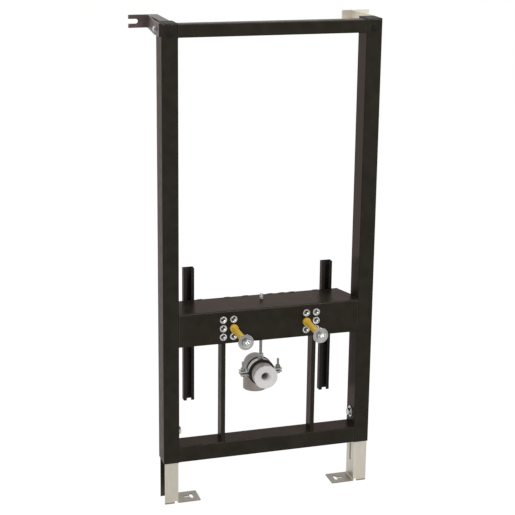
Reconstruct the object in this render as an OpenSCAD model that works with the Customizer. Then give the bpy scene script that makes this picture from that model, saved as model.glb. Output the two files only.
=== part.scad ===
// Bidet installation frame: box-section frame on two telescoping feet, with a
// folded fixture beam, two bidet studs, a clamped waste elbow and two pipe rails.
// Millimetres. +X to the right, the front faces -Y, +Z up.
// The origin is the middle of the left wall plate's rear face.

/* [Uprights] */
// Width over both uprights
frame_w = 518; // [480:1:560]
// Length of each upright
post_h = 1042; // [960:1:1120]
// Width of each upright seen from the front
post_w = 38; // [36:1:44]
// Depth of each upright
post_d = 55; // [52:1:62]
// Wall of the box sections
tube_t = 2; // [1.5:0.1:2.5]
// Outside corner radius of the box sections
tube_r = 3; // [2.6:0.1:4]

/* [Rails] */
// Height of the top rail
top_rail_h = 30; // [25:1:40]
// Depth of the top rail
top_rail_d = 30; // [25:1:40]
// Height of the bottom rail
low_rail_h = 40; // [35:1:45]
// Height of the shelf's top face above the upright's lower end
shelf_h = 370.5; // [360:0.5:390]
// Width of each strut seen from the front
strut_w = 10; // [8:1:12]
// Depth of each strut
strut_d = 33; // [28:1:34]
// Setback of the struts behind the front face
strut_y = 4.5; // [3:0.5:5]
// Clear width between the two struts
strut_gap = 215; // [205:1:235]

/* [Fixture beam] */
// Height of the beam's front face
beam_h = 81; // [76:1:90]
// Depth of the shelf
shelf_d = 106; // [100:1:115]
// Sheet thickness of the beam
sheet_t = 2.5; // [2:0.1:3]
// Outside radius of the bends
bend_r = 5; // [4:0.5:6]
// Amount each end of the shelf narrows towards the rear
taper_w = 19; // [12:1:24]
// Depth at which the shelf starts to narrow
taper_y = 47; // [42:1:50]
// Height of the rear flange
rear_h = 34; // [30:1:40]
// Depth of the lower flange
lower_d = 42; // [40:1:46]

/* [Fixing bosses and studs] */
// Distance between the two studs
stud_gap = 180; // [180:1:200]
// Distance from an inner to an outer boss column
boss_px = 25; // [22:0.5:28]
// Distance between bosses in one column
boss_pz = 21; // [20:0.5:24]
// Height of the middle boss below the shelf's top face
boss_drop = 42; // [38:0.5:44]
// Radius of a boss rim
boss_rim_r = 9; // [8.8:0.1:9.6]
// Radius of a boss body
boss_r = 8; // [7.6:0.1:8.4]
// Length of a boss behind the beam's front face
boss_len = 22; // [18:1:26]
// Radius of the tapped holes
tap_r = 5.1; // [4.9:0.1:5.4]
// Radius of the studs
stud_r = 6; // [5.8:0.1:6.4]
// Distance the studs stand out in front of the beam
stud_out = 123; // [120:1:140]
// Outside radius of the plastic sleeves
sleeve_r = 7.6; // [7.3:0.1:8.4]
// Length of the sleeves
sleeve_len = 100; // [90:1:102]
// Radius of the stud washers
washer_r = 18.5; // [16:0.5:20]
// Thickness of the stud washers
washer_t = 3; // [2.5:0.5:3]

/* [Feet] */
// Height of the upright's lower end above the floor
foot_drop = 106; // [100:1:140]
// Length of each foot inside the upright
foot_in = 200; // [180:1:230]
// Sheet thickness of the feet
foot_t = 3; // [2.5:0.1:3.5]
// Clearance between a foot and its upright
foot_gap = 0.6; // [0.4:0.1:0.9]
// Reach of each floor plate past the upright's inner face
plate_out = 53; // [48:1:58]
// Height of the clamp bolt above the upright's lower end
clamp_z = 72; // [64:1:76]
// Radius of the clamp bolts
clamp_r = 5; // [4.5:0.1:5.2]

/* [Wall brackets] */
// Distance from the front face to the wall
wall_y = 181; // [170:1:210]
// Distance of the brackets' middle below the upright's top
bracket_drop = 13.5; // [12:0.5:20]
// Length of the wall plates
wall_plate_w = 69; // [66:1:76]
// Height of the wall plates
wall_plate_h = 30; // [28:1:32]
// Thickness of the bracket strip
strip_t = 3; // [2.5:0.1:4]
// Width of the open slot
wall_slot_w = 11; // [9:0.5:12]
// Length of the open slot
wall_slot_len = 22.5; // [18:0.5:24]

/* [Pipe rails] */
// Width of each pipe rail
rail_w = 26; // [24:1:30]
// Depth of each pipe rail
rail_d = 16; // [15:1:20]
// Sheet thickness of the pipe rails
rail_t = 2; // [1.5:0.1:2.2]
// Width of the slot in a pipe rail
rail_slot = 11; // [10:0.5:12]
// Length of the pipe rails
rail_len = 336; // [320:1:360]
// Middle of the left pipe rail from the frame's middle
left_rail_x = 171; // [165:1:176]
// Middle of the right pipe rail from the frame's middle
right_rail_x = 178; // [170:1:182]
// Height of the left pipe rail's top above the shelf
left_rail_up = 78; // [70:1:90]
// Height of the right pipe rail's top above the shelf
right_rail_up = 69; // [60:1:85]

/* [Waste] */
// Height of the waste's axis above the upright's lower end
waste_z = 184.5; // [180:0.5:190]
// Setback of the clamp's middle behind the front face
clamp_y = 73; // [71:0.5:76]
// Outside radius of the pipe in the clamp
pipe_r = 26; // [25:0.5:26.5]
// Outside radius of the elbow's body
elbow_r = 29.5; // [29:0.5:31]
// Radius of the elbow's bore
elbow_bore_r = 24; // [23:0.5:24.2]
// Setback of the down leg's axis
leg_y = 118; // [116:1:124]
// Length of the down leg below the waste's axis
leg_len = 60; // [50:1:70]
// Setback of the seal's front face
seal_y = 26; // [24:1:30]
// Radius of the seal's front rim
seal_r = 29.3; // [28.8:0.1:30.5]
// Radius of the seal's throat
throat_r = 9; // [8:0.5:11]
// Width of the clamp band
band_w = 20; // [18:1:22]
// Thickness of the clamp band
band_t = 2.5; // [2:0.1:2.8]
// Thickness of the rubber lining
lining_t = 2.6; // [2:0.1:3]
// Distance from the clamp's middle to each clamp screw
lug_x = 44.6; // [43:0.5:47]
// Radius of the threaded rod
rod_r = 4; // [3.8:0.1:4.4]
// Height of the rod's end above the shelf
rod_up = 12; // [8:1:16]

/* [Hidden] */
$fn = 48;
over = 1;
black = [0.17, 0.15, 0.14];
steel = [0.72, 0.70, 0.64];
bright = [0.80, 0.80, 0.82];
rubber = [0.12, 0.11, 0.10];
post_x = frame_w / 2 - post_w / 2;
inner_x = frame_w / 2 - post_w;
post_z = foot_drop;
top_z = post_z + post_h;
low_top_z = post_z + low_rail_h;
shelf_z = post_z + shelf_h;
beam_z = shelf_z - beam_h;
boss_z = shelf_z - boss_drop;
bracket_z = top_z - bracket_drop;
bracket_x = frame_w / 2 + 1.5;
cap_t = 2;
cap_depth = 8;
cap_gap = 0.2;
plug_r = 9;
plug_stem_r = 7.5;
plug_z = top_z - 19;
nut_af = 19;
nut_h = 10;
hex_k = 1 / cos(30);
stud_fit = 0.1;
stud_waist = 0.5;
stud_free = stud_out - 3.5 - sleeve_len - washer_t - nut_h;
collar_r = sleeve_r + 2.2;
collar_len = 8;
rod_hole_r = rod_r + 0.5;
foot_w = post_w - 2 * tube_t - 2 * foot_gap;
foot_d = post_d - 2 * tube_t - 2 * foot_gap;
foot_x = inner_x + tube_t + foot_gap;
foot_y = tube_t + foot_gap;
foot_bend = 6;
slot_r = clamp_r + 0.5;
slot_low = 54;
slot_high = foot_drop + foot_in - 16;
clamp_head_af = 17;
arm_in = 12;
flange_w = 23;
arm_front = 14;
bracket_bolt_y = 42;
bracket_bolt_r = 3;
rear_bolt_r = 3.8;
rear_bolt_z = shelf_z - rear_h / 2 - 3;
axis_z = post_z + waste_z;
band_r = pipe_r + lining_t;
ring_r = band_r + band_t;
lug_end = lug_x + 8;
lug_t = 3;
lug_gap = 4;
screw_r = 3;
rod_nut_h = 6.5;

// Placement and shared shapes
module from_wall() {
    translate([bracket_x, -wall_y, -bracket_z]) children();
}

module left_hand() {
    mirror([1, 0, 0]) children();
}

module along_y(y) {
    translate([0, y, 0]) rotate([-90, 0, 0]) children();
}

module outline(w, d, r) {
    square([w - 2 * r, d], center = true);
    square([w, d - 2 * r], center = true);
    for (sx = [-1, 1]) {
        for (sy = [-1, 1]) {
            translate([sx * (w / 2 - r), sy * (d / 2 - r)]) circle(r = r);
        }
    }
}

module box_section(w, d) {
    difference() {
        outline(w, d, tube_r);
        outline(w - 2 * tube_t, d - 2 * tube_t, tube_r - tube_t);
    }
}

// Uprights with their plug hole, clamp bolt hole and bracket bolt hole
module upright() {
    color(black) difference() {
        translate([post_x, post_d / 2, post_z]) linear_extrude(height = post_h) box_section(post_w, post_d);
        translate([post_x, 0, plug_z]) along_y(-over) cylinder(r = plug_stem_r, h = tube_t + 2 * over);
        translate([inner_x - over, post_d / 2, post_z + clamp_z])
            rotate([0, 90, 0]) cylinder(r = slot_r, h = tube_t + 2 * over);
        translate([frame_w / 2 - tube_t - over, bracket_bolt_y, bracket_z])
            rotate([0, 90, 0]) cylinder(r = bracket_bolt_r, h = tube_t + 2 * over);
    }
}

// Rails welded between the uprights
module cross_rail(h, d, z) {
    color(black) translate([-inner_x, d / 2, z + h / 2])
        rotate([90, 0, 90]) linear_extrude(height = 2 * inner_x) box_section(d, h);
}

// Strut from the bottom rail up to the beam's lower flange
module strut() {
    color(black) translate([strut_gap / 2 + strut_w / 2, strut_y + strut_d / 2, low_top_z])
        linear_extrude(height = beam_z - low_top_z) difference() {
            outline(strut_w, strut_d, 1.5);
            square([strut_w - 3, strut_d - 3], center = true);
        }
}

// Folded beam: front face, shelf, rear flange and lower flange
module bend(y, z, a) {
    translate([y, z]) rotate([0, 0, a]) difference() {
        intersection() {
            circle(r = bend_r);
            square(bend_r);
        }
        circle(r = bend_r - sheet_t);
    }
}

module beam_profile() {
    translate([0, bend_r]) square([sheet_t, beam_h - 2 * bend_r]);
    bend(bend_r, beam_h - bend_r, 90);
    translate([bend_r, beam_h - sheet_t]) square([shelf_d - 2 * bend_r, sheet_t]);
    bend(shelf_d - bend_r, beam_h - bend_r, 0);
    translate([shelf_d - sheet_t, beam_h - rear_h]) square([sheet_t, rear_h - bend_r]);
    bend(bend_r, bend_r, 180);
    translate([bend_r, 0]) square([lower_d - bend_r, sheet_t]);
}

module beam_end() {
    translate([0, 0, beam_z - over]) linear_extrude(height = beam_h + 2 * over)
        polygon([[inner_x, taper_y], [inner_x + over, taper_y], [inner_x + over, shelf_d + over],
            [inner_x - taper_w, shelf_d + over], [inner_x - taper_w, shelf_d]]);
}

module boss_places() {
    for (cx = [stud_gap / 2, stud_gap / 2 + boss_px]) {
        for (k = [-1, 0, 1]) {
            translate([cx, 0, boss_z + k * boss_pz]) children();
        }
    }
}

module rear_bolt_places() {
    translate([-left_rail_x, 0, rear_bolt_z]) children();
    translate([right_rail_x, 0, rear_bolt_z]) children();
}

module fixture_beam() {
    color(black) difference() {
        translate([-inner_x, 0, beam_z])
            rotate([90, 0, 90]) linear_extrude(height = 2 * inner_x) beam_profile();
        beam_end();
        left_hand() beam_end();
        boss_places() along_y(-over) cylinder(r = boss_r, h = sheet_t + 2 * over);
        left_hand() boss_places() along_y(-over) cylinder(r = boss_r, h = sheet_t + 2 * over);
        translate([0, clamp_y, shelf_z - sheet_t - over]) cylinder(r = rod_hole_r, h = sheet_t + 2 * over);
        rear_bolt_places() along_y(shelf_d - sheet_t - over)
            cylinder(r = rear_bolt_r + 0.4, h = sheet_t + 2 * over);
        for (nx = [-146, -78, -32, 31, 60, 86, 146]) {
            translate([nx - 5, shelf_d - 1.2, shelf_z - rear_h + 4]) cube([10, over + 1.2, rear_h]);
        }
    }
}

// Threaded bosses pressed into the beam: the middle inner one takes the stud
module bosses() {
    color(bright) difference() {
        boss_places() {
            along_y(0) cylinder(r = boss_r, h = boss_len);
            along_y(-1.5) cylinder(r = boss_rim_r, h = 1.5);
        }
        boss_places() along_y(-2 - over) cylinder(r = tap_r, h = boss_len + 3 * over + 2);
        translate([stud_gap / 2, 0, boss_z]) along_y(-2 - over)
            cylinder(r = stud_r + stud_fit, h = boss_len + 3 * over + 2);
    }
}

// Stud, sleeve, washer and nut that carry the bidet
module stud() {
    color(bright) translate([stud_gap / 2, 0, boss_z]) {
        along_y(-stud_out) cylinder(r1 = stud_r - 1.5, r2 = stud_r, h = 1.5);
        along_y(-stud_out + 1.5) cylinder(r = stud_r, h = stud_free);
        along_y(-stud_out + 1.5 + stud_free)
            cylinder(r = stud_r - stud_waist, h = stud_out - stud_free + boss_len - 3.5);
    }
}

module sleeve() {
    color([0.78, 0.60, 0.18]) translate([stud_gap / 2, 0, boss_z]) difference() {
        union() {
            along_y(-1.5 - sleeve_len) cylinder(r = sleeve_r, h = sleeve_len);
            along_y(-1.5 - collar_len) cylinder(r = collar_r, h = collar_len);
        }
        along_y(-2 - sleeve_len) cylinder(r = stud_r + 0.3, h = sleeve_len + 2);
    }
}

module stud_washer() {
    color(bright) translate([stud_gap / 2, 0, boss_z]) difference() {
        along_y(-1.5 - sleeve_len - washer_t) cylinder(r = washer_r, h = washer_t);
        along_y(-2.5 - sleeve_len - washer_t) cylinder(r = stud_r + 0.5, h = washer_t + 2);
    }
}

module hex_nut(af, h, bore) {
    difference() {
        intersection() {
            cylinder(r = af / 2 * hex_k, h = h, $fn = 6);
            cylinder(r1 = af / 2 * 0.98, r2 = af / 2 + h, h = h);
            cylinder(r1 = af / 2 + h, r2 = af / 2 * 0.98, h = h);
        }
        translate([0, 0, -over]) cylinder(r = bore, h = h + 2 * over);
    }
}

module stud_nut() {
    color(bright) translate([stud_gap / 2, 0, boss_z])
        along_y(-1.5 - sleeve_len - washer_t - nut_h) hex_nut(nut_af, nut_h, stud_r + 0.15);
}

// Slotted rails for the water pipes, bolted to the beam's rear flange
module pipe_rail(x, up) {
    color(black) translate([x, shelf_d, shelf_z + up - rail_len]) linear_extrude(height = rail_len)
        difference() {
            translate([-rail_w / 2, 0]) square([rail_w, rail_d]);
            translate([-rail_w / 2 + rail_t, rail_t]) square([rail_w - 2 * rail_t, rail_d - 2 * rail_t]);
            translate([-rail_slot / 2, -over]) square([rail_slot, rail_t + 2 * over]);
        }
}

module rail_bolts() {
    color(steel) rear_bolt_places() {
        along_y(shelf_d - sheet_t - 5.3) hex_nut(13, 5.3, 0.1);
        along_y(shelf_d - sheet_t - 5.3) cylinder(r = rear_bolt_r, h = sheet_t + 5.3 + rail_t + 7);
        translate([-rail_w / 2 + rail_t + 1.5, shelf_d + rail_t, -7]) cube([rail_w - 2 * rail_t - 3, 5, 14]);
    }
}

// Foot: channel inside the upright, folded inwards to a slotted floor plate
module foot_section() {
    translate([0, 0]) square([foot_t, foot_d]);
    square([foot_w, foot_t]);
    translate([0, foot_d - foot_t]) square([foot_w, foot_t]);
}

module foot() {
    color(steel) translate([foot_x, foot_y, 0]) difference() {
        union() {
            translate([0, 0, foot_bend])
                linear_extrude(height = foot_drop + foot_in - foot_bend) foot_section();
            translate([foot_t + 6, 0, 0]) cube([foot_w - foot_t - 6, foot_t, foot_bend + over]);
            translate([foot_t + 6, foot_d - foot_t, 0]) cube([foot_w - foot_t - 6, foot_t, foot_bend + over]);
            translate([foot_t - foot_bend, foot_d, foot_bend])
                rotate([90, 0, 0]) linear_extrude(height = foot_d)
                difference() {
                    intersection() {
                        circle(r = foot_bend);
                        translate([0, -foot_bend]) square(foot_bend);
                    }
                    circle(r = foot_bend - foot_t);
                }
            translate([foot_t - foot_bend - plate_out + 1, 0, 0]) cube([plate_out - 1, foot_d, foot_t]);
        }
        translate([-over, foot_d / 2, slot_low])
            rotate([0, 90, 0]) cylinder(r = slot_r, h = foot_t + 2 * over);
        translate([-over, foot_d / 2, slot_high])
            rotate([0, 90, 0]) cylinder(r = slot_r, h = foot_t + 2 * over);
        translate([-over, foot_d / 2 - slot_r, slot_low])
            cube([foot_t + 2 * over, 2 * slot_r, slot_high - slot_low]);
        translate([-38, foot_d / 2 - 8, -over]) cylinder(r = 4, h = foot_t + 2 * over);
        translate([-38, foot_d / 2 + 8, -over]) cylinder(r = 4, h = foot_t + 2 * over);
        translate([-42, foot_d / 2 - 8, -over]) cube([8, 16, foot_t + 2 * over]);
        translate([-38, foot_d / 2 - 4, -over]) cube([16, 8, foot_t + 2 * over]);
        translate([-22, foot_d / 2, -over]) cylinder(r = 4, h = foot_t + 2 * over);
    }
}

// Clamp bolt with washer outside the upright and a square nut inside the foot
module foot_bolt() {
    color(steel) translate([inner_x, post_d / 2, post_z + clamp_z]) rotate([0, 90, 0]) {
        translate([0, 0, -2.5]) cylinder(r = 14, h = 2.5);
        translate([0, 0, -9]) hex_nut(clamp_head_af, 6.5, 0.1);
        translate([0, 0, -9]) cylinder(r = clamp_r, h = 9 + tube_t + foot_gap + foot_t + 12);
        translate([-9, -9, tube_t + foot_gap + foot_t]) cube([18, 18, 8]);
    }
}

// Folded wall bracket: slotted wall plate, cranked arm and stiffening flange
module bracket_plan() {
    arm_back = strip_t;
    crank = wall_y - post_d - 6;
    polygon([[arm_in - strip_t, -arm_back], [arm_in, -arm_back], [arm_in, -arm_back - 12],
        [strip_t - 1.5, -crank], [strip_t - 1.5, arm_front - wall_y], [-1.5, arm_front - wall_y],
        [-1.5, -crank], [arm_in - strip_t, -arm_back - 12]]);
}

module bracket() {
    color(steel) difference() {
        union() {
            translate([-wall_plate_w / 2, -strip_t, -wall_plate_h / 2])
                cube([wall_plate_w, strip_t, wall_plate_h]);
            translate([0, 0, -wall_plate_h / 2]) linear_extrude(height = wall_plate_h) bracket_plan();
            translate([arm_in - strip_t / 2, post_d + 1 - wall_y, wall_plate_h / 2 - strip_t])
                cube([flange_w, wall_y - post_d - 1 - strip_t, strip_t]);
        }
        translate([-wall_plate_w / 2 - over, -strip_t - over, -wall_slot_w / 2])
            cube([wall_slot_len - wall_slot_w / 2 + over, strip_t + 2 * over, wall_slot_w]);
        translate([-wall_plate_w / 2 + wall_slot_len - wall_slot_w / 2, 0, 0]) along_y(-strip_t - over)
            cylinder(r = wall_slot_w / 2, h = strip_t + 2 * over);
        translate([-2 - over, bracket_bolt_y - wall_y, 0]) rotate([0, 90, 0])
            cylinder(r = bracket_bolt_r + 0.2, h = strip_t + 4 * over);
    }
}

module bracket_bolt() {
    color(bright) translate([frame_w / 2, bracket_bolt_y, bracket_z]) rotate([0, 90, 0]) {
        translate([0, 0, strip_t]) cylinder(r = 6.5, h = 1.2);
        translate([0, 0, strip_t + 1.2]) hex_nut(10, 4, 0.1);
        translate([0, 0, -7]) cylinder(r = bracket_bolt_r - 0.1, h = 7 + strip_t + 4);
    }
}

// Plastic end cap and hole plug
module end_cap() {
    inside = cap_gap + tube_t;
    color(rubber) translate([post_x, post_d / 2, top_z]) {
        linear_extrude(height = cap_t) outline(post_w, post_d, tube_r);
        translate([0, 0, -cap_depth]) linear_extrude(height = cap_depth) difference() {
            square([post_w - 2 * inside, post_d - 2 * inside], center = true);
            square([post_w - 2 * inside - 4, post_d - 2 * inside - 4], center = true);
        }
    }
}

module plug() {
    color(rubber) translate([post_x, 0, plug_z]) {
        along_y(-1) cylinder(r1 = plug_r - 1, r2 = plug_r, h = 1);
        along_y(0) cylinder(r = plug_stem_r - 0.1, h = 8);
    }
}

// Threaded rod that hangs the clamp from the shelf, with its nuts
module clamp_rod() {
    low = axis_z + ring_r;
    color(steel) translate([0, clamp_y, low]) cylinder(r = rod_r, h = shelf_z + rod_up - low);
}

module rod_nuts() {
    color(steel) translate([0, clamp_y, 0]) {
        translate([0, 0, shelf_z - sheet_t - rod_nut_h]) hex_nut(13, rod_nut_h, rod_r + 0.1);
        translate([0, 0, axis_z + ring_r + 8]) hex_nut(13, rod_nut_h, rod_r + 0.1);
    }
}

// Two-part pipe clamp with rubber lining
module clamp_half() {
    along_y(clamp_y - band_w / 2) difference() {
        cylinder(r = ring_r, h = band_w);
        translate([0, 0, -over]) cylinder(r = band_r, h = band_w + 2 * over);
        translate([-ring_r - over, -lug_gap / 2, -over])
            cube([2 * ring_r + 2 * over, ring_r + 2 * over, band_w + 2 * over]);
    }
    for (s = [-1, 1]) {
        difference() {
            translate([s * (ring_r + lug_end - 2) / 2, clamp_y, lug_gap / 2 + lug_t / 2])
                cube([lug_end - ring_r + 2, band_w, lug_t], center = true);
            translate([s * lug_x, clamp_y, 0]) cylinder(r = screw_r + 0.3, h = lug_gap + 2 * lug_t);
        }
    }
}

module clamp_upper() {
    color(steel) translate([0, 0, axis_z]) {
        clamp_half();
        difference() {
            translate([0, clamp_y, ring_r - 1]) cylinder(r = 7.5, h = 9, $fn = 6);
            translate([0, clamp_y, ring_r - 2]) cylinder(r = rod_r + 0.1, h = 12);
        }
    }
}

module clamp_lower() {
    color(steel) translate([0, 0, axis_z]) mirror([0, 0, 1]) clamp_half();
}

module clamp_lining() {
    rim = 3;
    color(rubber) translate([0, 0, axis_z]) along_y(clamp_y - band_w / 2 - rim) difference() {
        union() {
            cylinder(r = band_r, h = band_w + 2 * rim);
            cylinder(r = ring_r, h = rim);
            translate([0, 0, band_w + rim]) cylinder(r = ring_r, h = rim);
        }
        translate([0, 0, -over]) cylinder(r = pipe_r, h = band_w + 2 * rim + 2 * over);
    }
}

module clamp_screws() {
    color(bright) for (s = [-1, 1]) {
        translate([s * lug_x, clamp_y, axis_z]) {
            translate([0, 0, -lug_gap / 2 - lug_t - 5]) hex_nut(10, 5, 0.1);
            translate([0, 0, -lug_gap / 2 - lug_t - 5]) cylinder(r = screw_r, h = 38);
            translate([0, 0, lug_gap / 2 + lug_t]) cylinder(r1 = 6.5, r2 = 4, h = 7);
        }
    }
}

// Waste elbow held in the clamp, open at the socket and at the down leg
module waste_elbow() {
    socket_y = seal_y + 3;
    step_y = clamp_y + band_w / 2 + 5;
    color([0.60, 0.57, 0.54]) translate([0, 0, axis_z]) difference() {
        union() {
            along_y(socket_y) cylinder(r = seal_r - 1, h = 22);
            along_y(socket_y + 22) cylinder(r1 = seal_r - 1, r2 = pipe_r, h = 3);
            along_y(socket_y + 22) cylinder(r = pipe_r, h = leg_y - socket_y - 22);
            along_y(step_y) cylinder(r = elbow_r, h = leg_y - step_y);
            translate([0, leg_y, 0]) sphere(r = elbow_r);
            translate([0, leg_y, -leg_len]) cylinder(r = elbow_r, h = leg_len);
        }
        along_y(socket_y - over) cylinder(r = elbow_bore_r, h = leg_y - socket_y + over);
        translate([0, leg_y, 0]) sphere(r = elbow_bore_r);
        translate([0, leg_y, -leg_len - over]) cylinder(r = elbow_bore_r, h = leg_len + over);
    }
}

// Rubber seal pressed into the elbow's socket
module waste_seal() {
    color([0.88, 0.86, 0.85]) translate([0, 0, axis_z]) difference() {
        union() {
            along_y(seal_y) cylinder(r1 = seal_r - 1, r2 = seal_r, h = 1);
            along_y(seal_y + 1) cylinder(r = seal_r, h = 2);
            along_y(seal_y + 3) cylinder(r = elbow_bore_r, h = 19);
        }
        along_y(seal_y - over) cylinder(r = throat_r, h = 22 + 2 * over);
        along_y(seal_y) cylinder(r1 = throat_r + 2.5, r2 = throat_r, h = 4);
        along_y(seal_y + 10) cylinder(r = elbow_bore_r - 3, h = 12 + over);
    }
}

from_wall() left_hand() upright();  // left_upright
from_wall() upright();  // right_upright
from_wall() cross_rail(top_rail_h, top_rail_d, top_z - top_rail_h);  // top_rail
from_wall() cross_rail(low_rail_h, post_d, post_z);  // bottom_rail
from_wall() fixture_beam();
from_wall() left_hand() bosses();  // left_bosses
from_wall() bosses();  // right_bosses
from_wall() left_hand() stud();  // left_stud
from_wall() stud();  // right_stud
from_wall() left_hand() sleeve();  // left_sleeve
from_wall() sleeve();  // right_sleeve
from_wall() left_hand() stud_washer();  // left_washer
from_wall() stud_washer();  // right_washer
from_wall() left_hand() stud_nut();  // left_nut
from_wall() stud_nut();  // right_nut
from_wall() left_hand() strut();  // left_strut
from_wall() strut();  // right_strut
from_wall() pipe_rail(-left_rail_x, left_rail_up);  // left_pipe_rail
from_wall() pipe_rail(right_rail_x, right_rail_up);  // right_pipe_rail
from_wall() rail_bolts();
from_wall() left_hand() foot();  // left_foot
from_wall() foot();  // right_foot
from_wall() left_hand() foot_bolt();  // left_foot_bolt
from_wall() foot_bolt();  // right_foot_bolt
from_wall() translate([-bracket_x, wall_y, bracket_z]) bracket();  // left_bracket
from_wall() translate([bracket_x, wall_y, bracket_z]) rotate([0, 180, 0]) bracket();  // right_bracket
from_wall() left_hand() bracket_bolt();  // left_bracket_bolt
from_wall() bracket_bolt();  // right_bracket_bolt
from_wall() left_hand() end_cap();  // left_end_cap
from_wall() end_cap();  // right_end_cap
from_wall() left_hand() plug();  // left_plug
from_wall() plug();  // right_plug
from_wall() clamp_rod();
from_wall() rod_nuts();
from_wall() clamp_upper();
from_wall() clamp_lower();
from_wall() clamp_lining();
from_wall() clamp_screws();
from_wall() waste_elbow();
from_wall() waste_seal();
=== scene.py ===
# Bidet installation frame: black-coated box section on two zinc-plated feet.
# It carries a folded fixture beam, two bidet studs, a clamped waste elbow and two pipe rails.
import math

import bpy
from mathutils import Matrix, Vector


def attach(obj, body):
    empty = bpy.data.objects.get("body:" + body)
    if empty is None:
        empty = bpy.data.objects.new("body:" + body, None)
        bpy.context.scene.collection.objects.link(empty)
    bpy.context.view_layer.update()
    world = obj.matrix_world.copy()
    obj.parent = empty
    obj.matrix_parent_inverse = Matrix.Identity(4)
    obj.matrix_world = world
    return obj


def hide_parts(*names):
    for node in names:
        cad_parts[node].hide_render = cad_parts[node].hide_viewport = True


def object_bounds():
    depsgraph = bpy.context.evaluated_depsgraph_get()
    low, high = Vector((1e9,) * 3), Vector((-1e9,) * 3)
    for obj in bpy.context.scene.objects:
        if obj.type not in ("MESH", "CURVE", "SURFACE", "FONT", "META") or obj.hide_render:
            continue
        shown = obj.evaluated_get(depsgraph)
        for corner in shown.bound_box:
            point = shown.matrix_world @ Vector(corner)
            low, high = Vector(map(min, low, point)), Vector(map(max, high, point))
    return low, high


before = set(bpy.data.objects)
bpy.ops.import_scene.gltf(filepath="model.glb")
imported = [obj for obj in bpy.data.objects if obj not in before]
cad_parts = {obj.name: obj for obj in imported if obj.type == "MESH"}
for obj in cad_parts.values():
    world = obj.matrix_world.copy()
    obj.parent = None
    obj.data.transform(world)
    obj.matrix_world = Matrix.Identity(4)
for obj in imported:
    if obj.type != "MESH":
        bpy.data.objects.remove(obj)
cad_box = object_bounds()


# Studio
# The frame stands over a white paper floor in soft light from three large softboxes and
# a small bright one. The lens looks down at it from the left, shifted a little downwards.
PHOTO_RIGHT = Vector((0.955698, -0.294066, 0.012887))
PHOTO_UP = Vector((0.066151, 0.257236, 0.964082))
PHOTO_AHEAD = Vector((0.286819, 0.920519, -0.265292))
PHOTO_PLACE = Vector((-0.68720, -3.14977, 0.39873))

lens = bpy.data.cameras.new("photo_camera")
lens.sensor_width = 36.0
lens.lens = 36.0 * 2.70584
lens.shift_x = -0.0094
lens.shift_y = -0.0612
lens.clip_start = 0.05
lens.clip_end = 200.0
camera = bpy.data.objects.new("photo_camera", lens)
bpy.context.scene.collection.objects.link(camera)
turn = Matrix((PHOTO_RIGHT, PHOTO_UP, -PHOTO_AHEAD)).transposed()
camera.matrix_world = Matrix.Translation(PHOTO_PLACE) @ turn.to_4x4()
bpy.context.scene.camera = camera
bpy.context.scene.view_settings.view_transform = "Standard"


def seen_directly(nodes, links):
    """1 for rays from the eye, from glossy metal or through glass, else 0."""
    path = nodes.new("ShaderNodeLightPath")
    either = nodes.new("ShaderNodeMath")
    either.operation = "MAXIMUM"
    links.new(path.outputs["Is Camera Ray"], either.inputs[0])
    links.new(path.outputs["Is Glossy Ray"], either.inputs[1])
    any_ray = nodes.new("ShaderNodeMath")
    any_ray.operation = "MAXIMUM"
    links.new(either.outputs[0], any_ray.inputs[0])
    links.new(path.outputs["Is Transmission Ray"], any_ray.inputs[1])
    return any_ray.outputs[0]


world = bpy.data.worlds.new("white_room")
bpy.context.scene.world = world
world.use_nodes = True
nodes, links = world.node_tree.nodes, world.node_tree.links
nodes.clear()
room = nodes.new("ShaderNodeBackground")
room.inputs["Color"].default_value = (1.0, 0.985, 0.965, 1.0)
room.inputs["Strength"].default_value = 0.78
paper = nodes.new("ShaderNodeBackground")
paper.inputs["Color"].default_value = (1.0, 1.0, 1.0, 1.0)
paper.inputs["Strength"].default_value = 1.0
choice = nodes.new("ShaderNodeMixShader")
links.new(seen_directly(nodes, links), choice.inputs["Fac"])
links.new(room.outputs[0], choice.inputs[1])
links.new(paper.outputs[0], choice.inputs[2])
links.new(choice.outputs[0], nodes.new("ShaderNodeOutputWorld").inputs["Surface"])

FLOOR_HALF = 40.0
# The feet slide 100 mm down, so the paper lies just below their lowest place.
FOOT_REACH, FLOOR_GAP = 0.100, 0.0003
floor_z = cad_box[0].z - FOOT_REACH - FLOOR_GAP
floor_mesh = bpy.data.meshes.new("paper_floor")
floor_mesh.from_pydata(
    [(x, y, floor_z) for x, y in ((-FLOOR_HALF, -FLOOR_HALF), (FLOOR_HALF, -FLOOR_HALF),
                                  (FLOOR_HALF, FLOOR_HALF), (-FLOOR_HALF, FLOOR_HALF))],
    [], [(0, 1, 2, 3)])
floor = bpy.data.objects.new("paper_floor", floor_mesh)
bpy.context.scene.collection.objects.link(floor)
# Seen directly, the paper is mostly clean white. The rest of it is lit as a real one, so
# that it keeps the frame's soft shadow.
PAPER_WHITE_SHARE = 0.93
floor_paper = bpy.data.materials.new("floor_paper")
floor_paper.use_nodes = True
nodes, links = floor_paper.node_tree.nodes, floor_paper.node_tree.links
nodes.clear()
lit = nodes.new("ShaderNodeBsdfDiffuse")
lit.inputs["Color"].default_value = (0.92, 0.92, 0.92, 1.0)
clean = nodes.new("ShaderNodeEmission")
clean.inputs["Strength"].default_value = 1.02
share = nodes.new("ShaderNodeMath")
share.operation = "MULTIPLY"
share.inputs[1].default_value = PAPER_WHITE_SHARE
links.new(seen_directly(nodes, links), share.inputs[0])
choice = nodes.new("ShaderNodeMixShader")
links.new(share.outputs[0], choice.inputs["Fac"])
links.new(lit.outputs[0], choice.inputs[1])
links.new(clean.outputs[0], choice.inputs[2])
links.new(choice.outputs[0], nodes.new("ShaderNodeOutputMaterial").inputs["Surface"])
floor_mesh.materials.append(floor_paper)


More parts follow.
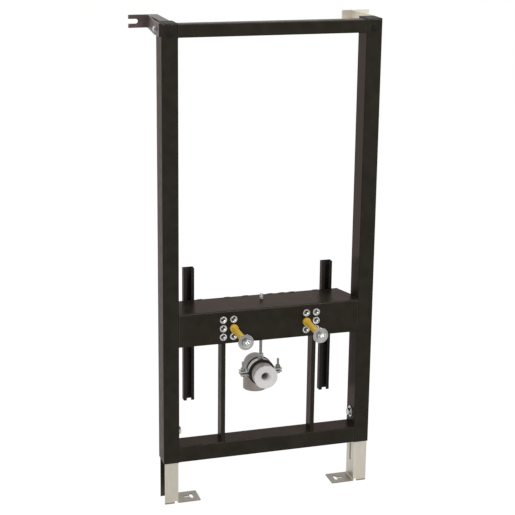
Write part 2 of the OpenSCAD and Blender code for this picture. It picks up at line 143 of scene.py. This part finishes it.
def softbox(name, place, size, watts):
    """A square soft light that looks at the middle of the frame."""
    lamp = bpy.data.lights.new(name, "AREA")
    lamp.size = size
    lamp.energy = watts
    obj = bpy.data.objects.new(name, lamp)
    bpy.context.scene.collection.objects.link(obj)
    middle = (cad_box[0] + cad_box[1]) / 2
    obj.location = place
    obj.rotation_euler = (middle - Vector(place)).to_track_quat("-Z", "Y").to_euler()


softbox("left_softbox", (-2.6, -2.4, 1.2), 1.6, 50.0)
softbox("right_softbox", (2.8, -2.0, 0.6), 1.6, 22.0)
softbox("top_softbox", (0.2, -0.4, 2.6), 2.0, 8.0)
# A small bright one whose reflection runs along the folded sheet's upper bends.
softbox("bend_softbox", (1.05, -1.05, 2.1), 0.55, 44.0)


# Black coated frame
# Uprights, rails, struts and the folded beam are welded from box section and sheet, then
# powder coated in one go: near black, a little brown, half gloss, with a painted highlight:
# a lighter colour along the edges.
MIDDLE = Vector((0.2605, -0.181, -1.1345))


def at(x, y, z):
    """A point in millimetres from the frame's middle, front face and floor, in the CAD's metres."""
    return MIDDLE + Vector((x, y, z)) / 1000.0


CLOUD_GRAINS = 14.0  # a cloud of tone is this many grains wide
GRAIN_DEPTH = 0.0004


def surface(name, colours, roughness, grain, bump, metal=0.0, stretch=(1, 1, 1), gloss=0.5,
            edge=0.0006, edge_highlight=None, sheen_tint=(1.0, 1.0, 1.0)):
    """Cloudy colour between two tones, uneven roughness, fine grain and softened edges;
    edge_highlight paints a lighter colour along the edges as a painted highlight.
    """
    material = bpy.data.materials.new(name)
    material.use_nodes = True
    nodes, links = material.node_tree.nodes, material.node_tree.links
    shader = nodes["Principled BSDF"]
    shader.inputs["Metallic"].default_value = metal
    shader.inputs["Specular IOR Level"].default_value = gloss
    shader.inputs["Specular Tint"].default_value = (*sheen_tint, 1.0)
    spot = nodes.new("ShaderNodeTexCoord")
    lay = nodes.new("ShaderNodeMapping")
    lay.inputs["Scale"].default_value = stretch
    links.new(spot.outputs["Object"], lay.inputs["Vector"])
    clouds = nodes.new("ShaderNodeTexNoise")
    clouds.inputs["Scale"].default_value = grain / CLOUD_GRAINS
    clouds.inputs["Detail"].default_value = 4.0
    fine = nodes.new("ShaderNodeTexNoise")
    fine.inputs["Scale"].default_value = grain
    fine.inputs["Detail"].default_value = 3.0
    for texture in (clouds, fine):
        links.new(lay.outputs["Vector"], texture.inputs["Vector"])
    tone = nodes.new("ShaderNodeMixRGB")
    tone.inputs["Fac"].default_value = 0.35
    links.new(clouds.outputs["Fac"], tone.inputs["Color1"])
    links.new(fine.outputs["Fac"], tone.inputs["Color2"])
    ramp = nodes.new("ShaderNodeValToRGB")
    ramp.color_ramp.elements[0].position = 0.34
    ramp.color_ramp.elements[0].color = (*colours[0], 1.0)
    ramp.color_ramp.elements[1].position = 0.66
    ramp.color_ramp.elements[1].color = (*colours[1], 1.0)
    links.new(tone.outputs["Color"], ramp.inputs["Fac"])
    rough = nodes.new("ShaderNodeMapRange")
    rough.inputs["From Min"].default_value = 0.3
    rough.inputs["From Max"].default_value = 0.7
    rough.inputs["To Min"].default_value = roughness[0]
    rough.inputs["To Max"].default_value = roughness[1]
    links.new(clouds.outputs["Fac"], rough.inputs["Value"])
    links.new(rough.outputs["Result"], shader.inputs["Roughness"])
    soft = nodes.new("ShaderNodeBevel")
    soft.samples = 6
    soft.inputs["Radius"].default_value = edge
    dents = nodes.new("ShaderNodeBump")
    dents.inputs["Strength"].default_value = bump
    dents.inputs["Distance"].default_value = GRAIN_DEPTH
    links.new(fine.outputs["Fac"], dents.inputs["Height"])
    links.new(soft.outputs["Normal"], dents.inputs["Normal"])
    links.new(dents.outputs["Normal"], shader.inputs["Normal"])
    colour = ramp.outputs["Color"]
    # Painted highlight: a lighter colour where the soft edges turn, standing in for the light that
    # rounded edges catch.
    if edge_highlight:
        flat = nodes.new("ShaderNodeNewGeometry")
        likeness = nodes.new("ShaderNodeVectorMath")
        likeness.operation = "DOT_PRODUCT"
        links.new(soft.outputs["Normal"], likeness.inputs[0])
        links.new(flat.outputs["Normal"], likeness.inputs[1])
        rim = nodes.new("ShaderNodeMapRange")
        rim.inputs["From Min"].default_value = 0.985
        rim.inputs["From Max"].default_value = 0.80
        rim.inputs["To Max"].default_value = 0.55
        links.new(likeness.outputs["Value"], rim.inputs["Value"])
        edge_lighten = nodes.new("ShaderNodeMixRGB")
        edge_lighten.inputs["Color2"].default_value = (*edge_highlight, 1.0)
        links.new(rim.outputs["Result"], edge_lighten.inputs["Fac"])
        links.new(colour, edge_lighten.inputs["Color1"])
        colour = edge_lighten.outputs["Color"]
    links.new(colour, shader.inputs["Base Color"])
    return material


def dress(material, *names):
    """Gives CAD nodes their finish."""
    for name in names:
        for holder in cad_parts[name].material_slots:
            holder.material = material


black_coat = surface(
    "black_powder_coat", ((0.0158, 0.0138, 0.0106), (0.0228, 0.0196, 0.0152)), (0.28, 0.37),
    520.0, 0.10, metal=0.4, gloss=0.06, edge=0.0018, edge_highlight=(0.180, 0.150, 0.130),
    sheen_tint=(0.62, 0.49, 0.47))
dress(black_coat, "left_upright", "right_upright", "top_rail", "bottom_rail", "fixture_beam",
      "left_strut", "right_strut")


def piece(name, verts, faces, material, body, smooth_angle=35.0):
    """A mesh in place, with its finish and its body."""
    mesh = bpy.data.meshes.new(name)
    mesh.from_pydata(verts, [], faces)
    mesh.materials.append(material)
    for polygon in mesh.polygons:
        polygon.use_smooth = True
    mesh.set_sharp_from_angle(angle=math.radians(smooth_angle))
    obj = bpy.data.objects.new(name, mesh)
    bpy.context.scene.collection.objects.link(obj)
    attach(obj, body)
    return obj


BEAD_STEP, BEAD_SIDES = 0.55, 8


def weld_bead(verts, faces, start, end, radius=1.7):
    """One rippled bead of weld between two points in millimetres."""
    start, end = Vector(start), Vector(end)
    ahead = (end - start).normalized()
    side = ahead.orthogonal().normalized()
    other = ahead.cross(side)
    count = max(6, int((end - start).length / BEAD_STEP))
    base = len(verts)
    for i in range(count + 1):
        middle = start.lerp(end, i / count)
        ripple = 0.86 + 0.14 * math.cos(i * math.pi / 2.0) + 0.05 * math.sin(i * 1.7)
        taper = min(1.0, 0.25 + min(i, count - i) / 4.0)
        for k in range(BEAD_SIDES):
            angle = 2 * math.pi * k / BEAD_SIDES
            out = side * math.cos(angle) + other * math.sin(angle)
            verts.append(at(*(middle + out * radius * ripple * taper)))
    for i in range(count):
        for k in range(BEAD_SIDES):
            a = base + i * BEAD_SIDES + k
            b = base + i * BEAD_SIDES + (k + 1) % BEAD_SIDES
            faces.append((a, b, b + BEAD_SIDES, a + BEAD_SIDES))
    faces.append(tuple(base + k for k in reversed(range(BEAD_SIDES))))
    faces.append(tuple(base + count * BEAD_SIDES + k for k in range(BEAD_SIDES)))


def welds(name, runs):
    """One piece that holds several beads, in the frame's coat."""
    verts, faces = [], []
    for start, end in runs:
        weld_bead(verts, faces, start, end)
    piece(name, verts, faces, black_coat, "frame", 60.0)


# Beads run where the rails, the struts and the beam meet their neighbours, at the inner
# faces of the uprights and at both ends of the struts.
INNER_FACE = 221.0
STRUT_NEAR, STRUT_FAR = 107.5, 117.5
STRUT_FOOT, STRUT_HEAD = 146, 395.5
for side, word in ((-1, "left"), (1, "right")):
    x = side * INNER_FACE
    welds(word + "_rail_welds", [
        ((x, 3, 1118), (x, 27, 1118)), ((x, 30, 1121), (x, 30, 1145)),
        ((x, 4, 146), (x, 51, 146)), ((x, 55, 110), (x, 55, 143)), ((x, 4, 106), (x, 51, 106)),
    ])
    near, far = side * STRUT_NEAR, side * STRUT_FAR
    welds(word + "_strut_welds", [
        ((near, 6, z), (near, 36, z)) for z in (STRUT_FOOT, STRUT_HEAD)
    ] + [
        ((far, 6, z), (far, 36, z)) for z in (STRUT_FOOT, STRUT_HEAD)
    ] + [
        ((side * 109, y, z), (side * 116, y, z))
        for z in (STRUT_FOOT, STRUT_HEAD) for y in (4.5, 37.5)
    ])
    welds(word + "_beam_welds", [
        ((x, 7, 476.5), (x, 30, 476.5)), ((x, 2.5, 402), (x, 2.5, 468)),
        ((x, 7, 395.5), (x, 36, 395.5)),
    ])


# Dimples of the shelf
# Seven low dimples are pressed upwards along the folded shelf's rear bend, one over each
# notch of the rear flange, and stiffen the edge. They carry the frame's coat.
DIMPLES_AT = (-146, -78, -32, 31, 60, 86, 146)
DIMPLE_HALF_LENGTH, DIMPLE_HALF_WIDTH, DIMPLE_RISE = 8.0, 3.6, 1.4
DIMPLE_LINE_Y, DIMPLE_FOOT_Z = 100.5, 476.3
ACROSS, ALONG = 6, 12
verts, faces = [], []
for dimple_x in DIMPLES_AT:
    base = len(verts)
    row = ALONG + 1
    for i in range(ACROSS + 1):
        for j in range(row):
            u, v = 2.0 * i / ACROSS - 1.0, 2.0 * j / ALONG - 1.0
            rise = DIMPLE_RISE * max(0.0, 1.0 - u * u) * max(0.0, 1.0 - v ** 4)
            verts.append(at(dimple_x + DIMPLE_HALF_LENGTH * v,
                            DIMPLE_LINE_Y + DIMPLE_HALF_WIDTH * u, DIMPLE_FOOT_Z + rise))
    for i in range(ACROSS):
        for j in range(ALONG):
            a = base + i * row + j
            faces.append((a, a + 1, a + 1 + row, a + row))
    last = base + ACROSS * row
    faces.append(tuple(
        [base + i * row for i in range(ACROSS + 1)] + [last + j for j in range(1, row)]
        + [base + i * row + ALONG for i in range(ACROSS - 1, -1, -1)]
        + [base + j for j in range(ALONG - 1, 0, -1)]))
piece("shelf_dimples", verts, faces, black_coat, "frame", 60.0)


# Pipe rails
# Two slotted C rails are bolted behind the shelf. They are coated apart from the frame:
# a little greyer and duller, with no painted highlight on the edges.
rail_coat = surface(
    "black_rail_coat", ((0.024, 0.020, 0.0175), (0.034, 0.029, 0.0255)), (0.36, 0.46),
    520.0, 0.10, metal=0.25, gloss=0.05, edge=0.0006, sheen_tint=(0.62, 0.52, 0.50))
dress(rail_coat, "left_pipe_rail", "right_pipe_rail")


# End caps and hole plugs
# Black polyethylene caps are pushed into the uprights' open tops, and a domed plug
# closes the spare hole near each top. Both are moulded, with soft edges.
# The caps and plugs carry a faint painted highlight: their edges are coloured a little lighter.
cap_plastic = surface(
    "black_polyethylene", ((0.0040, 0.0038, 0.0036), (0.0070, 0.0066, 0.0062)), (0.46, 0.60),
    900.0, 0.12, gloss=0.12, edge=0.0005, edge_highlight=(0.022, 0.021, 0.020))


def turned(name, rows, origin, axis, material, body, steps=48, ring=False, sharp=35.0):
    """A turned form: rows of (along, radius), where radius may be a function of the angle."""
    verts, faces = turned_mesh(rows, origin, axis, steps, ring)
    return piece(name, verts, faces, material, body, sharp)


def turned_mesh(rows, origin, axis, steps, ring, verts=None, faces=None):
    """The points and faces of a turned form: a closed ring, or a rod with flat ends."""
    verts = [] if verts is None else verts
    faces = [] if faces is None else faces
    lay = Vector(axis).to_track_quat("Z", "Y")
    across, up, along = (lay @ Vector(v) for v in ((1, 0, 0), (0, 1, 0), (0, 0, 1)))
    middle = Vector(origin)
    base = len(verts)
    for t, radius in rows:
        for j in range(steps):
            angle = 2 * math.pi * j / steps
            r = radius(angle) if callable(radius) else radius
            verts.append(at(*(middle + along * t + across * r * math.cos(angle)
                              + up * r * math.sin(angle))))
    count = len(rows)
    for i in range(count if ring else count - 1):
        for j in range(steps):
            a, b = base + i * steps + j, base + i * steps + (j + 1) % steps
            c = base + ((i + 1) % count) * steps + (j + 1) % steps
            d = base + ((i + 1) % count) * steps + j
            faces.append((a, b, c, d))
    if not ring:
        faces.append(tuple(base + j for j in reversed(range(steps))))
        faces.append(tuple(base + (count - 1) * steps + j for j in range(steps)))
    return verts, faces


LOOP = 32


def rounded_loop(half_x, half_y, corner, z, cx, cy):
    """A rounded rectangle of LOOP points."""
    each = LOOP // 4
    points = []
    for quarter in range(4):
        sx, sy = ((1, 1), (-1, 1), (-1, -1), (1, -1))[quarter]
        for k in range(each):
            angle = math.radians(90 * quarter + 90 * k / (each - 1))
            points.append((cx + sx * (half_x - corner) + corner * math.cos(angle),
                           cy + sy * (half_y - corner) + corner * math.sin(angle), z))
    return points


POST_X, POST_Y, POST_TOP, PLUG_Z = 240.0, 27.5, 1148.0, 1129
for side, word in ((-1, "left"), (1, "right")):
    cx, cy, top = side * POST_X, POST_Y, POST_TOP
    loops = [
        (14.6, 23.1, 1.2, -8.0), (16.6, 25.1, 1.0, -8.0), (16.8, 25.3, 1.0, -0.01),
        (18.9, 27.4, 3.0, 0.0), (19.0, 27.5, 3.0, 0.5), (18.9, 27.4, 3.0, 1.3),
        (18.4, 26.9, 2.8, 1.8), (17.6, 26.1, 2.6, 2.0), (15.6, 24.1, 2.2, 2.0),
        (15.1, 23.6, 2.0, 1.6), (1.2, 1.2, 1.0, 1.6),
    ]
    verts, faces = [], []
    for hx, hy, corner, z in loops:
        verts += [at(*p) for p in rounded_loop(hx, hy, corner, top + z, cx, cy)]
    for i in range(len(loops) - 1):
        for k in range(LOOP):
            a, b = i * LOOP + k, i * LOOP + (k + 1) % LOOP
            faces.append((a, b, b + LOOP, a + LOOP))
    faces.append(tuple((len(loops) - 1) * LOOP + k for k in range(LOOP)))
    base = len(verts)
    verts += [at(*p) for p in rounded_loop(14.6, 23.1, 1.2, top - 0.5, cx, cy)]
    for k in range(LOOP):
        faces.append((k, base + k, base + (k + 1) % LOOP, (k + 1) % LOOP))
    faces.append(tuple(base + k for k in reversed(range(LOOP))))
    cap = piece(word + "_cap", verts, faces, cap_plastic, "frame")
    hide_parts(word + "_end_cap")
    dome = [(9.0 * math.sin(a), -0.2 - 1.6 * math.cos(a))
            for a in (math.radians(d) for d in range(10, 91, 10))]
    plug = turned(
        word + "_hole_plug",
        [(-1.5, 0.4), (-1.5, 1.6), (-1.75, 2.0)] + [(y, r) for r, y in dome[2:]]
        + [(0.0, 8.9), (0.0, 7.4), (5.6, 7.2), (7.9, 6.2), (7.9, 4.6), (1.0, 4.6), (1.0, 0.4)],
        (cx, 0, PLUG_Z), (0, 1, 0), cap_plastic, "frame")
    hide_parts(word + "_plug")


# Threaded bosses
# Twelve bright-plated M12 rivet bosses are pressed into the beam's front face, in two
# columns of three on each side. Their rims stand 1.5 mm proud.
bright_plate = surface(
    "bright_zinc_plate", ((0.34, 0.34, 0.335), (0.60, 0.60, 0.595)), (0.14, 0.26),
    700.0, 0.05, metal=1.0, edge=0.0003)
BOSS_Z, BOSS_STEP = 434.5, 21
INNER_COLUMN, OUTER_COLUMN = 90.0, 115.0
THREAD_M12 = 1.75


def thread(t, pitch, root, crest):
    """The radius of a thread at a place along it, as a function of the angle."""
    def radius(angle):
        turn = (t / pitch + angle / (2 * math.pi)) % 1.0
        rise = min(max((abs(turn - 0.5) * 2 - 0.15) / 0.62, 0.0), 1.0)
        return root + (crest - root) * rise
    return radius


for side, word in ((-1, "left"), (1, "right")):
    verts, faces = [], []
    for column in (INNER_COLUMN, OUTER_COLUMN):
        for step in (-1, 0, 1):
            has_stud = column == INNER_COLUMN and step == 0
            outside = [(-0.9, 7.2 if has_stud else 6.4), (-1.35, 7.3), (-1.5, 7.9), (-1.4, 8.6),
                       (-0.9, 9.0), (0.0, 9.0), (0.0, 8.0), (21.4, 8.0), (22.0, 7.4)]
            bore = []
            for k in range(72):
                t = 22.0 - k * 22.6 / 71
                bore.append((t, 6.12 if has_stud else thread(t, THREAD_M12, 5.15, 5.95)))
            turned_mesh(outside + bore, (side * column, 0, BOSS_Z + BOSS_STEP * step), (0, 1, 0),
                        32, True, verts, faces)
    bosses = piece(word + "_rivet_bosses", verts, faces, bright_plate, "frame", 40)
    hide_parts(word + "_bosses")


# Bidet studs
# An M12 threaded stud is screwed into the middle inner boss of each side. An ochre
# plastic sleeve, a polished washer and a bright nut sit on it.
ochre_sleeve = surface(
    "ochre_plastic", ((0.375, 0.235, 0.018), (0.475, 0.305, 0.030)), (0.38, 0.52),
    260.0, 0.10, stretch=(1, 0.25, 1), gloss=0.4, edge=0.0004)
washer_plate = surface(
    "polished_washer_plate", ((0.25, 0.25, 0.24), (0.46, 0.455, 0.44)), (0.03, 0.08),
    420.0, 0.03, metal=1.0, edge=0.0005)
for side, word in ((-1, "left"), (1, "right")):
    x = side * INNER_COLUMN
    rows = [(-123.0, 0.5), (-123.0, 4.6)]
    count = int(142.0 / THREAD_M12 * 6)
    for k in range(count + 1):
        t = -122.95 + 142.9 * k / count
        limit = 4.7 + (t + 122.95) * 0.9
        cut = thread(t, THREAD_M12, 5.15, 5.93)
        rows.append((t, (lambda angle, cut=cut, limit=limit: min(cut(angle), limit))))
    rows += [(20.0, 4.8), (20.0, 0.5)]
    rod = turned(word + "_threaded_stud", rows, (x, 0, BOSS_Z), (0, 1, 0), bright_plate,
                 "frame", 32, False, 40)
    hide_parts(word + "_stud")
    tube = turned(
        word + "_plastic_sleeve",
        [(-101.5, 6.3), (-101.5, 7.1), (-101.1, 7.5), (-99.5, 7.6), (-60.0, 7.6), (-24.0, 7.6),
         (-10.4, 7.6), (-9.6, 8.0), (-9.5, 9.3), (-9.1, 9.8), (-2.1, 9.8), (-1.6, 9.4),
         (-1.5, 6.3)],
        (x, 0, BOSS_Z), (0, 1, 0), ochre_sleeve, "frame", 48, True)
    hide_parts(word + "_sleeve")
    disc = turned(
        word + "_stud_washer",
        [(-104.5, 6.5), (-104.5, 17.4), (-104.3, 18.1), (-103.8, 18.45), (-102.6, 18.5),
         (-102.0, 18.3), (-101.6, 17.6), (-101.5, 6.5)],
        (x, 0, BOSS_Z), (0, 1, 0), washer_plate, "frame", 64, True)
    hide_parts(word + "_washer")


def hexagon(flats, limit):
    """The radius of a hexagon across its flats, cut round to a limit, by the angle."""
    def radius(angle):
        part = (angle + math.pi / 6) % (math.pi / 3) - math.pi / 6
        return min(flats / 2 / math.cos(part), limit)
    return radius


def nut_rows(flats, start, high, bore):
    """A chamfered hexagon nut as turned rows, with a countersunk bore."""
    corner = flats / 2 / math.cos(math.pi / 6)
    rows = []
    for t, limit in ((0.0, flats / 2 * 0.97), (0.35, flats / 2 * 1.05), (0.9, corner * 0.985),
                     (1.4, corner), (high / 2, corner), (high - 1.4, corner),
                     (high - 0.9, corner * 0.985), (high - 0.35, flats / 2 * 1.05),
                     (high, flats / 2 * 0.97)):
        rows.append((start + t, hexagon(flats, limit)))
    return rows + [(start + high, bore + 0.6), (start + high - 0.7, bore),
                   (start + 0.7, bore), (start, bore + 0.6)]


for side, word in ((-1, "left"), (1, "right")):
    nut = turned(word + "_stud_nut", nut_rows(19.0, -114.5, 10.0, 6.05),
                 (side * INNER_COLUMN, 0, BOSS_Z), (0, 1, 0), bright_plate,
                 "frame", 96, True, 25)
    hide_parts(word + "_nut")


# Feet
# Each foot is a channel folded from zinc-plated steel strip: satin, warm grey, with
# rolling marks along the strip. It slides in its upright and ends in a floor plate.
satin_zinc = surface(
    "satin_zinc_strip", ((0.425, 0.395, 0.33), (0.565, 0.530, 0.455)), (0.34, 0.46),
    420.0, 0.08, metal=0.85, stretch=(1, 1, 0.12), gloss=0.5, edge=0.0004)
dress(satin_zinc, "left_foot", "right_foot")


def fade(nodes, links, coordinate, start, end, most=1.0):
    """A share that rises from 0 at start to most at end, along one coordinate."""
    rise = nodes.new("ShaderNodeMapRange")
    rise.inputs["From Min"].default_value = start
    rise.inputs["From Max"].default_value = end
    rise.inputs["To Max"].default_value = most
    links.new(coordinate, rise.inputs["Value"])
    return rise.outputs["Result"]


def product(nodes, links, first, second):
    """The product of two shares."""
    times = nodes.new("ShaderNodeMath")
    times.operation = "MULTIPLY"
    links.new(first, times.inputs[0])
    links.new(second, times.inputs[1])
    return times.outputs[0]


def tint(nodes, links, share, base, colour):
    """The base colour, mixed towards another one by a share."""
    mix = nodes.new("ShaderNodeMixRGB")
    mix.inputs["Color2"].default_value = (*colour, 1.0)
    links.new(share, mix.inputs["Fac"])
    links.new(base, mix.inputs["Color1"])
    return mix.outputs["Color"]


# Painted shade: the same finish is darkened near the floor, on the floor plates' tops.
# Painted shade: the inner face of the left foot's rear flange, outside its web, is coloured nearly
# black.
PLATE_TOP, FLANGE_INSIDE, FLANGE_MIDDLE, WEB_OUTSIDE = 0.0025, 0.044, 0.0505, -0.226
nodes, links = satin_zinc.node_tree.nodes, satin_zinc.node_tree.links
shader = nodes["Principled BSDF"]
strip_colour = shader.inputs["Base Color"].links[0].from_socket
spot = nodes.new("ShaderNodeTexCoord")
place = nodes.new("ShaderNodeSeparateXYZ")
links.new(spot.outputs["Object"], place.inputs[0])
# Painted shade: darker colour below the top of the floor plates.
plate_shade_share = fade(nodes, links, place.outputs["Z"],
                  MIDDLE.z + PLATE_TOP + 0.002, MIDDLE.z + PLATE_TOP, 0.80)
plate_shaded = tint(nodes, links, plate_shade_share, strip_colour, (0.14, 0.125, 0.10))
behind = fade(nodes, links, place.outputs["Y"],
              MIDDLE.y + FLANGE_INSIDE, MIDDLE.y + FLANGE_INSIDE + 0.002)
outside = fade(nodes, links, place.outputs["X"],
               MIDDLE.x + WEB_OUTSIDE, MIDDLE.x + WEB_OUTSIDE - 0.002, 0.93)
inner_face = fade(nodes, links, place.outputs["Y"],
                  MIDDLE.y + FLANGE_MIDDLE + 0.001, MIDDLE.y + FLANGE_MIDDLE)
flange_shade_share = product(nodes, links, product(nodes, links, behind, outside), inner_face)
# Painted shade: near black where the left foot's channel lies in shadow.
links.new(tint(nodes, links, flange_shade_share, plate_shaded, (0.012, 0.010, 0.009)), shader.inputs["Base Color"])


# Wall brackets
# Two brackets folded from the same kind of strip reach from the uprights to the wall.
# The right one is pale zinc. The left one has painted shade: the same strip coloured darker and
# brownish, with a painted highlight on its edges.
pale_zinc = surface(
    "pale_zinc_strip", ((0.56, 0.53, 0.45), (0.72, 0.68, 0.59)), (0.32, 0.44),
    420.0, 0.08, metal=0.85, stretch=(0.25, 0.25, 1), gloss=0.5, edge=0.0006)
dress(pale_zinc, "right_bracket")
painted_shade_zinc = surface(
    "painted_shade_zinc_strip", ((0.085, 0.062, 0.058), (0.125, 0.096, 0.090)), (0.36, 0.50),
    420.0, 0.08, metal=0.8, stretch=(0.25, 0.25, 1), gloss=0.5, edge=0.0006,
    edge_highlight=(0.40, 0.37, 0.33))
dress(painted_shade_zinc, "left_bracket")


# Clamp bolts of the feet, and bracket bolts
# An M10 bolt with a large washer and a spring washer holds each foot at its height, and
# an M6 bolt holds each bracket's arm to its upright.
BOLT_PITCH = 1.5  # the M10 bolt's, taken for the short M6 one too


def bolt(name, node, origin, axis, washer, flats, head, shank, length):
    """Washer, spring washer and hexagon head with a round recess, and a threaded shank."""
    wr, wt = washer
    limit = flats / 2 / math.cos(math.pi / 6)
    rows = [(-length, 0.4), (-length, shank - 1.0)]
    count = int(length / BOLT_PITCH * 5)
    for k in range(count + 1):
        t = -length + 0.05 + (length - 0.1) * k / count
        cut = thread(t, BOLT_PITCH, shank * 0.86, shank - 0.05)
        rows.append((t, (lambda angle, cut=cut, c=shank - 0.95 + (t + length): min(cut(angle), c))))
    rows += [(0.0, shank), (0.0, wr - 0.5), (0.3, wr), (wt - 0.3, wr), (wt, wr - 0.5)]
    spring, spring_t, gap = limit * 0.93, 1.4, 0.15
    rows += [(wt, spring - 0.1), (wt + 0.1, spring), (wt + spring_t - 0.1, spring),
             (wt + spring_t, spring - 0.1), (wt + spring_t, shank + 0.6),
             (wt + spring_t + gap, shank + 0.6)]
    start = wt + spring_t + gap
    for t, r in ((0.0, flats / 2 * 0.97), (0.3, flats / 2 * 1.06), (0.9, limit),
                 (head - 1.2, limit), (head - 0.4, flats / 2 * 1.05), (head, flats / 2 * 0.95)):
        rows.append((start + t, hexagon(flats, r)))
    rows += [(start + head, flats / 2 * 0.62), (start + head - 0.5, flats / 2 * 0.56),
             (start + head - 0.5, 0.4)]
    verts, faces = turned_mesh(rows, origin, axis, 96, False)
    obj = piece(name, verts, faces, bright_plate, "frame", 25)
    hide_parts(node)


CLAMP_BOLT_Z = 178
ARM_OUTSIDE, ARM_BOLT_Y, ARM_BOLT_Z = 262, 42, 1134.5
for side, word in ((-1, "left"), (1, "right")):
    bolt(word + "_clamp_bolt", word + "_foot_bolt",
         (side * INNER_FACE, POST_Y, CLAMP_BOLT_Z), (-side, 0, 0),
         (14.0, 2.0), 17.0, 5.4, 5.0, 18.0)
    bolt(word + "_arm_bolt", word + "_bracket_bolt",
         (side * ARM_OUTSIDE, ARM_BOLT_Y, ARM_BOLT_Z), (side, 0, 0),
         (6.5, 0.9), 10.0, 3.6, 2.9, 10.0)


# Pipe clamp
# A two-part zinc-plated steel band with a rubber lining hangs on an M8 threaded rod
# from the shelf. Two M6 screws with flanged nuts close it round the waste pipe.
clamp_zinc = surface(
    "clamp_zinc_strip", ((0.33, 0.33, 0.30), (0.50, 0.50, 0.465)), (0.28, 0.42),
    420.0, 0.08, metal=0.9, stretch=(0.25, 0.25, 1), gloss=0.5, edge=0.0005)
dress(clamp_zinc, "clamp_upper", "clamp_lower", "rod_nuts", "rail_bolts")
AXIS_Z, CLAMP_Y, PITCH_M8 = 290.5, 73.0, 1.25
rod_bottom, rod_top = AXIS_Z + 31.1, 488.5
rows = [(0.0, 0.3), (0.0, 3.2)]
count = int((rod_top - rod_bottom) / PITCH_M8 * 6)
for k in range(count + 1):
    t = 0.05 + (rod_top - rod_bottom - 0.1) * k / count
    cut = thread(t, PITCH_M8, 3.35, 3.95)
    limit = 3.3 + min(t, rod_top - rod_bottom - t)
    rows.append((t, (lambda angle, cut=cut, limit=limit: min(cut(angle), limit))))
rows += [(rod_top - rod_bottom, 3.2), (rod_top - rod_bottom, 0.3)]
rod = turned("threaded_rod", rows, (0, CLAMP_Y, rod_bottom), (0, 0, 1), clamp_zinc, "frame",
             24, False, 40)
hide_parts("clamp_rod")

soft_rubber = surface(
    "black_rubber", ((0.014, 0.011, 0.009), (0.026, 0.020, 0.017)), (0.62, 0.78),
    1100.0, 0.16, gloss=0.25, edge=0.0005)
lip, out, over = 3.4, 28.6, 33.0
rows = [(0.3, 26.0), (0.0, 26.5), (0.0, over - 1.1), (0.4, over - 0.3), (1.1, over),
        (lip - 0.5, over), (lip, over - 0.6), (lip, out), (26 - lip, out), (26 - lip, over - 0.6),
        (26.5 - lip, over), (24.9, over), (25.6, over - 0.3), (26.0, over - 1.1), (26.0, 26.5),
        (25.7, 26.0)]
for k in range(9):
    rows += [(24.6 - k * 2.7, 26.0), (24.2 - k * 2.7, 26.25), (23.4 - k * 2.7, 26.25),
             (23.0 - k * 2.7, 26.0)]
lining = turned("ribbed_lining", rows, (0, CLAMP_Y - 13, AXIS_Z), (0, 1, 0), soft_rubber, "frame",
                96, True, 50)
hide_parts("clamp_lining")

verts, faces = [], []
SCREW_X, PITCH_M6 = 44.6, 1.0
for side in (-1, 1):
    x = side * SCREW_X
    rows = [(-10.0, 0.3)]
    for t, r in ((-10.0, 4.8), (-9.7, 5.2), (-9.0, 5.75), (-6.0, 5.75), (-5.2, 5.2), (-5.0, 4.8)):
        rows.append((t, hexagon(10.0, r)))
    rows += [(-5.0, 2.9), (5.0, 2.9)]
    rows += [(5.0, 6.0), (5.3, 6.5), (6.1, 6.5), (6.6, 5.9)]
    for t, r in ((6.8, 5.77), (10.4, 5.77), (11.4, 5.3), (11.8, 4.8)):
        rows.append((t, hexagon(10.0, r)))
    rows += [(11.8, 3.4), (11.3, 3.0)]
    count = int(16.7 / PITCH_M6 * 6)
    for k in range(count + 1):
        t = 11.3 + 16.65 * k / count
        cut = thread(t, PITCH_M6, 2.45, 2.95)
        rows.append((t, (lambda angle, cut=cut, limit=2.3 + 27.95 - t: min(cut(angle), limit))))
    rows += [(28.0, 2.2), (28.0, 0.3)]
    turned_mesh(rows, (x, CLAMP_Y, AXIS_Z), (0, 0, 1), 48, False, verts, faces)
screws = piece("closing_screws", verts, faces, clamp_zinc, "frame", 25)
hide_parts("clamp_screws")


# Waste elbow and seal
# The elbow is injection-moulded in warm grey plastic. A pale rubber seal with a
# funnel-shaped throat is pressed into its socket and shows as a round disc.
grey_mould = surface(
    "warm_grey_plastic", ((0.27, 0.238, 0.218), (0.34, 0.303, 0.280)), (0.40, 0.52),
    300.0, 0.07, gloss=0.4, edge=0.0006)
dress(grey_mould, "waste_elbow")

pale_rubber = surface(
    "pale_seal_rubber", ((0.425, 0.408, 0.412), (0.515, 0.498, 0.503)), (0.46, 0.60),
    380.0, 0.06, gloss=0.35, edge=0.0006)
rows = [(3.0, 28.3), (2.4, 29.2), (1.3, 29.3), (0.5, 28.9), (0.1, 28.2), (0.0, 27.2),
        (0.0, 14.6),
        (0.4, 13.2), (1.2, 12.4), (3.0, 11.2), (6.5, 9.6), (8.0, 9.0), (14.0, 8.9), (20.0, 8.8),
        (34.0, 8.4),
        (44.0, 7.0), (48.0, 6.2), (48.6, 6.6), (48.4, 8.4), (40.0, 10.2), (14.6, 11.2),
        (12.4, 13.0), (12.4, 20.6), (21.6, 21.0), (22.0, 22.8), (21.4, 23.8)]
for k in range(4):
    rows += [(20.0 - k * 4.2, 23.6), (19.0 - k * 4.2, 24.0), (18.0 - k * 4.2, 24.0),
             (17.0 - k * 4.2, 23.6)]
rows += [(3.0, 24.0)]
seal = turned("funnel_seal", rows, (0, 26, AXIS_Z), (0, 1, 0), pale_rubber, "frame",
              96, True, 40)
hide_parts("waste_seal")
